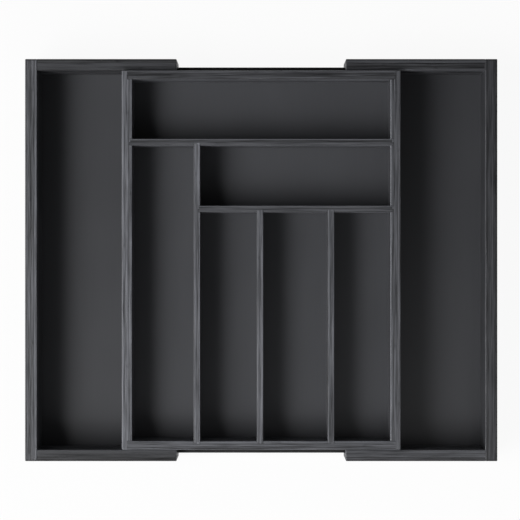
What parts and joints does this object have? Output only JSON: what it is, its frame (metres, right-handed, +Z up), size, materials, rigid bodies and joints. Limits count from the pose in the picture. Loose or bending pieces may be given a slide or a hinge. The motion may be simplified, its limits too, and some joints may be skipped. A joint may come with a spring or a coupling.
{
  "type": "cutlery tray",
  "caption": "Expandable drawer tray of black-stained bamboo boards: a divided centre box with side wings that slide out on tongues to widen it.",
  "frame": {"origin": "middle of the base plane that the wings stand on, with both wings drawn out", "axes": "+X to the right along the slides, +Y to the back of the drawer, +Z up"},
  "size_m": [0.505, 0.43, 0.0498],
  "materials": {
    "stained_bamboo": "black stain under satin lacquer, fine grain along each board",
    "stained_panel": "thin panel, black stain, smooth satin lacquer",
    "nail_steel": "blackened steel"
  },
  "bodies": {
    "centre": {"centre_back_wall": "stained_bamboo", "centre_front_wall": "stained_bamboo", "centre_left_wall": "stained_bamboo", "centre_right_wall": "stained_bamboo", "back_divider": "stained_bamboo", "long_divider": "stained_bamboo", "cross_divider": "stained_bamboo", "left_short_divider": "stained_bamboo", "right_short_divider": "stained_bamboo", "back_tongue": "stained_bamboo", "front_tongue": "stained_bamboo", "centre_floor": "stained_panel", "centre_nails": "nail_steel"},
    "left_wing": {"left_side_wall": "stained_bamboo", "left_back_rail": "stained_bamboo", "left_front_rail": "stained_bamboo", "left_floor": "stained_panel", "left_nails": "nail_steel", "left_stop_pins": "nail_steel"},
    "right_wing": {"right_side_wall": "stained_bamboo", "right_back_rail": "stained_bamboo", "right_front_rail": "stained_bamboo", "right_floor": "stained_panel", "right_nails": "nail_steel", "right_stop_pins": "nail_steel"}
  },
  "joints": [
    {"name": "left_slide", "type": "slide", "parent": "centre", "child": "left_wing", "axis": [1, 0, 0], "range_m": [0, 0.09]},
    {"name": "right_slide", "type": "slide", "parent": "centre", "child": "right_wing", "axis": [-1, 0, 0], "range_m": [0, 0.09]}
  ]
}
